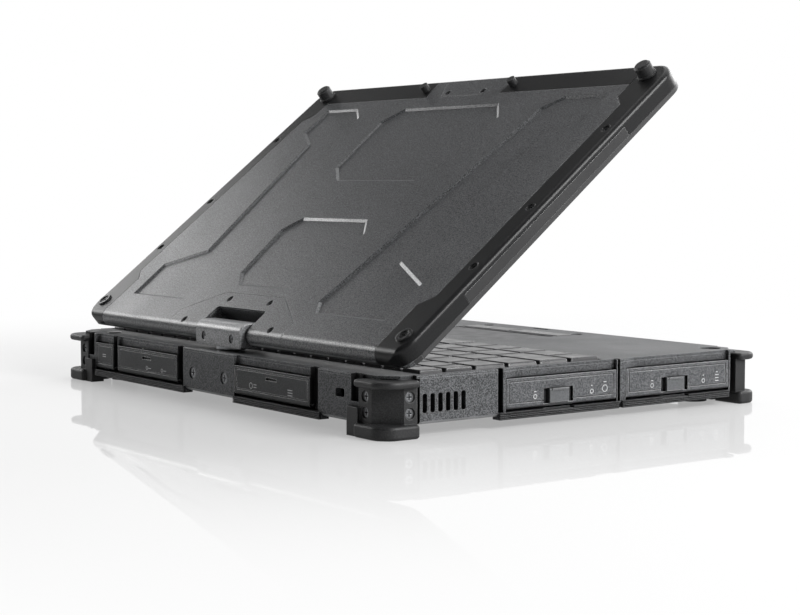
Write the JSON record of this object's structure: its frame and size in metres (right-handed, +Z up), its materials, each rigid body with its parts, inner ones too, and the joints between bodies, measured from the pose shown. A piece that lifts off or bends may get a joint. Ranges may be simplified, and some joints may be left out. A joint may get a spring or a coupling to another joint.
{
  "type": "laptop computer",
  "caption": "Rugged convertible laptop: rubber-cornered base with keyboard, doors and port covers, and a textured display lid on a centre swivel and tilt hinge.",
  "frame": {"origin": "centre of the base's footprint, on the surface it stands on", "axes": "+X to the user's right along the width, +Y to the rear (hinge) edge, +Z up"},
  "size_m": [0.2998, 0.228, 0.1645],
  "materials": {
    "magnesium_dark": "fine textured dark grey paint",
    "hinge_metal": "satin dark paint",
    "bumper_rubber": "matte moulded",
    "feet_rubber": "matte",
    "door_paint": "fine textured paint",
    "cover_plastic": "moulded soft plastic",
    "latch_plastic": "moulded",
    "key_plastic": "satin moulded",
    "pad_plastic": "fine satin",
    "bezel_plastic": "fine texture",
    "tray_metal": "black sheet",
    "screw_steel": "black oxide",
    "pin_steel": "ground",
    "bearing_brass": "turned",
    "bracket_aluminium": "cast",
    "circuit_board": "solder mask",
    "fan_plastic": "moulded",
    "connector_metal": "plated",
    "module_case": "moulded",
    "screen_glass": "anti-glare",
    "screen_panel": "dark panel"
  },
  "bodies": {
    "base": {"bottom_case": "magnesium_dark", "top_cover": "magnesium_dark", "keyboard_tray": "tray_metal", "touchpad": "pad_plastic", "bumper_front_left": "bumper_rubber", "bumper_front_right": "bumper_rubber", "bumper_rear_left": "bumper_rubber", "bumper_rear_right": "bumper_rubber", "bumper_screws": "screw_steel", "case_screws": "screw_steel", "rubber_feet": "feet_rubber", "motherboard": "circuit_board", "heat_sink": "bracket_aluminium", "fan_housing": "fan_plastic", "memory_module": "circuit_board", "wireless_card": "circuit_board", "speakers": "fan_plastic", "rear_connectors": "connector_metal", "drive_module": "module_case", "battery_pack": "module_case", "media_module": "module_case", "swivel_bearing": "bearing_brass"},
    "keys_function_row_body": {"keys_function_row": "key_plastic"},
    "keys_number_row_body": {"keys_number_row": "key_plastic"},
    "keys_tab_row_body": {"keys_tab_row": "key_plastic"},
    "keys_caps_row_body": {"keys_caps_row": "key_plastic"},
    "keys_shift_row_body": {"keys_shift_row": "key_plastic"},
    "keys_control_row_body": {"keys_control_row": "key_plastic"},
    "space_bar_body": {"space_bar": "key_plastic"},
    "touchpad_button_left_body": {"touchpad_button_left": "key_plastic"},
    "touchpad_button_right_body": {"touchpad_button_right": "key_plastic"},
    "power_button_body": {"power_button": "key_plastic"},
    "fan_rotor_body": {"fan_rotor": "fan_plastic"},
    "drive_door_body": {"drive_door": "door_paint"},
    "battery_door_body": {"battery_door": "door_paint"},
    "media_door_body": {"media_door": "door_paint"},
    "dc_cover_body": {"dc_cover": "cover_plastic"},
    "port_left_cover_body": {"port_left_cover": "cover_plastic"},
    "port_right_cover_body": {"port_right_cover": "cover_plastic"},
    "drive_latch_body": {"drive_latch": "latch_plastic"},
    "battery_latch_body": {"battery_latch": "latch_plastic"},
    "media_latch_body": {"media_latch": "latch_plastic"},
    "swivel": {"swivel_shaft": "pin_steel", "hinge_block": "hinge_metal", "tilt_pins": "pin_steel", "block_screws": "screw_steel"},
    "lid": {"lid_cover": "magnesium_dark", "hinge_cover": "magnesium_dark", "hinge_brackets": "bracket_aluminium", "side_strips": "bumper_rubber", "top_strips": "bumper_rubber", "latch_plate": "hinge_metal", "lid_screws": "screw_steel", "lid_pegs": "bumper_rubber", "lid_bezel": "bezel_plastic", "display_glass": "screen_glass", "display_panel": "screen_panel", "camera_module": "bezel_plastic"},
    "lid_latch_body": {"lid_latch": "latch_plastic"},
    "bezel_buttons_body": {"bezel_buttons": "key_plastic"}
  },
  "joints": [
    {"name": "keys_function_row_press", "type": "slide", "parent": "base", "child": "keys_function_row_body", "axis": [0, 0, -1], "range_m": [0, 0.002], "stiffness_N_per_m": 5000},
    {"name": "keys_number_row_press", "type": "slide", "parent": "base", "child": "keys_number_row_body", "axis": [0, 0, -1], "range_m": [0, 0.002], "stiffness_N_per_m": 3750},
    {"name": "keys_tab_row_press", "type": "slide", "parent": "base", "child": "keys_tab_row_body", "axis": [0, 0, -1], "range_m": [0, 0.002], "stiffness_N_per_m": 3750},
    {"name": "keys_caps_row_press", "type": "slide", "parent": "base", "child": "keys_caps_row_body", "axis": [0, 0, -1], "range_m": [0, 0.002], "stiffness_N_per_m": 3500},
    {"name": "keys_shift_row_press", "type": "slide", "parent": "base", "child": "keys_shift_row_body", "axis": [0, 0, -1], "range_m": [0, 0.002], "stiffness_N_per_m": 3500},
    {"name": "keys_control_row_press", "type": "slide", "parent": "base", "child": "keys_control_row_body", "axis": [0, 0, -1], "range_m": [0, 0.002], "stiffness_N_per_m": 2750},
    {"name": "space_bar_press", "type": "slide", "parent": "base", "child": "space_bar_body", "axis": [0, 0, -1], "range_m": [0, 0.002], "stiffness_N_per_m": 250},
    {"name": "touchpad_button_left_press", "type": "slide", "parent": "base", "child": "touchpad_button_left_body", "axis": [0, 0, -1], "range_m": [0, 0.0007], "stiffness_N_per_m": 900},
    {"name": "touchpad_button_right_press", "type": "slide", "parent": "base", "child": "touchpad_button_right_body", "axis": [0, 0, -1], "range_m": [0, 0.0007], "stiffness_N_per_m": 900},
    {"name": "power_button_press", "type": "slide", "parent": "base", "child": "power_button_body", "axis": [0, 0, -1], "range_m": [0, 0.0008], "stiffness_N_per_m": 900},
    {"name": "fan_spin", "type": "hinge", "parent": "base", "child": "fan_rotor_body", "pos_m": [-0.119, 0.075, 0.015], "axis": [0, 0, 1], "continuous": true},
    {"name": "drive_door_swing", "type": "hinge", "parent": "base", "child": "drive_door_body", "pos_m": [-0.145, 0.01065, 0.0093], "axis": [0, -1, 0], "range_deg": [0, 90]},
    {"name": "battery_door_swing", "type": "hinge", "parent": "base", "child": "battery_door_body", "pos_m": [-0.145, -0.06225, 0.0093], "axis": [0, -1, 0], "range_deg": [0, 90]},
    {"name": "media_door_swing", "type": "hinge", "parent": "base", "child": "media_door_body", "pos_m": [0.145, 0.01065, 0.0093], "axis": [0, 1, 0], "range_deg": [0, 90]},
    {"name": "dc_cover_swing", "type": "hinge", "parent": "base", "child": "dc_cover_body", "pos_m": [0.10955, 0.107, 0.0093], "axis": [-1, 0, 0], "range_deg": [0, 90]},
    {"name": "port_left_cover_swing", "type": "hinge", "parent": "base", "child": "port_left_cover_body", "pos_m": [0.0623, 0.107, 0.0093], "axis": [-1, 0, 0], "range_deg": [0, 90]},
    {"name": "port_right_cover_swing", "type": "hinge", "parent": "base", "child": "port_right_cover_body", "pos_m": [-0.0572, 0.107, 0.0093], "axis": [-1, 0, 0], "range_deg": [0, 90]},
    {"name": "drive_latch_slide", "type": "slide", "parent": "drive_door_body", "child": "drive_latch_body", "axis": [0, -1, 0], "range_m": [0, 0.0022]},
    {"name": "battery_latch_slide", "type": "slide", "parent": "battery_door_body", "child": "battery_latch_body", "axis": [0, -1, 0], "range_m": [0, 0.0022]},
    {"name": "media_latch_slide", "type": "slide", "parent": "media_door_body", "child": "media_latch_body", "axis": [0, 1, 0], "range_m": [0, 0.0022]},
    {"name": "lid_swivel", "type": "hinge", "parent": "base", "child": "swivel", "pos_m": [0, 0.0953, 0.0344], "axis": [0, 0, 1], "range_deg": [0, 180]},
    {"name": "lid_tilt", "type": "hinge", "parent": "swivel", "child": "lid", "pos_m": [0, 0.0953, 0.0344], "axis": [-1, 0, 0], "range_deg": [-38.3, 141.7]},
    {"name": "lid_latch_slide", "type": "slide", "parent": "lid", "child": "lid_latch_body", "axis": [1, 0, 0], "range_m": [0, 0.0024], "stiffness_N_per_m": 300},
    {"name": "bezel_buttons_press", "type": "slide", "parent": "lid", "child": "bezel_buttons_body", "axis": [0, 0.6198, 0.7848], "range_m": [0, 0.0004], "stiffness_N_per_m": 1500}
  ]
}
